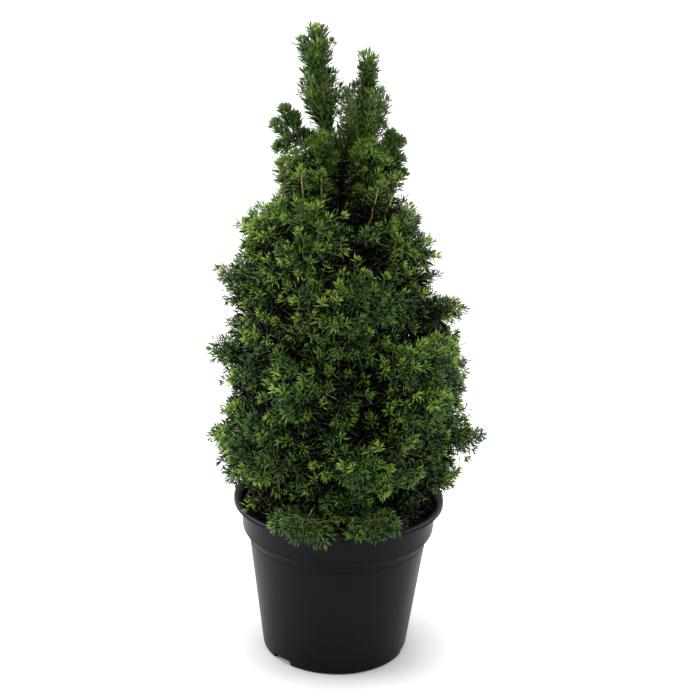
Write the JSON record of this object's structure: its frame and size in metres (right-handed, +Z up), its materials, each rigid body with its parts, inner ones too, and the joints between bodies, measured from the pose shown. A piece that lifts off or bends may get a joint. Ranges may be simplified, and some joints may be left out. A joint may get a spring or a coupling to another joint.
{
  "type": "potted alberta spruce",
  "caption": "Conical dwarf spruce with twin leading shoots and short dense needles, standing in a black round tapered nursery pot with a rolled lip and potting soil.",
  "frame": {"origin": "centre of the pot's flat underside", "axes": "+Z up along the pot's axis, -Y towards the side the two leading shoots are seen side by side from, +X to the lower leading shoot"},
  "size_m": [0.246, 0.2216, 0.566],
  "materials": {
    "pot": "satin black moulded plastic",
    "soil": "rough moist peat and bark potting mix",
    "bark": "rough scaly grey-brown bark",
    "foliage": "satin green needles"
  },
  "bodies": {
    "root": {"front_spray_1": "foliage", "front_spray_2": "foliage", "high_bough_1": "bark", "high_bough_2": "bark", "high_bough_3": "bark", "high_bough_4": "bark", "high_mass_1": "foliage", "high_mass_2": "foliage", "high_mass_3": "foliage", "high_mass_4": "foliage", "left_leader_middle": "foliage", "left_leader_tip": "foliage", "low_bough_1": "bark", "low_bough_2": "bark", "low_bough_3": "bark", "low_bough_4": "bark", "low_bough_5": "bark", "low_mass_1": "foliage", "low_mass_2": "foliage", "low_mass_3": "foliage", "low_mass_4": "foliage", "low_mass_5": "foliage", "middle_bough_1": "bark", "middle_bough_2": "bark", "middle_bough_3": "bark", "middle_bough_4": "bark", "middle_bough_5": "bark", "middle_mass_1": "foliage", "middle_mass_2": "foliage", "middle_mass_3": "foliage", "middle_mass_4": "foliage", "middle_mass_5": "foliage", "neck_back": "foliage", "neck_left": "foliage", "neck_right": "foliage", "pot": "pot", "right_leader": "bark", "right_leader_middle": "foliage", "right_leader_tip": "foliage", "right_sprig": "foliage", "right_twig": "bark", "shoulder_bough_1": "bark", "shoulder_bough_2": "bark", "shoulder_bough_3": "bark", "shoulder_mass_1": "foliage", "shoulder_mass_2": "foliage", "shoulder_mass_3": "foliage", "skirt_bough_1": "bark", "skirt_bough_2": "bark", "skirt_bough_3": "bark", "skirt_bough_4": "bark", "skirt_mass_1": "foliage", "skirt_mass_2": "foliage", "skirt_mass_3": "foliage", "skirt_mass_4": "foliage", "soil": "soil", "trunk": "bark", "upper_left_sprig": "foliage", "upper_left_twig": "bark"}
  },
  "joints": []
}
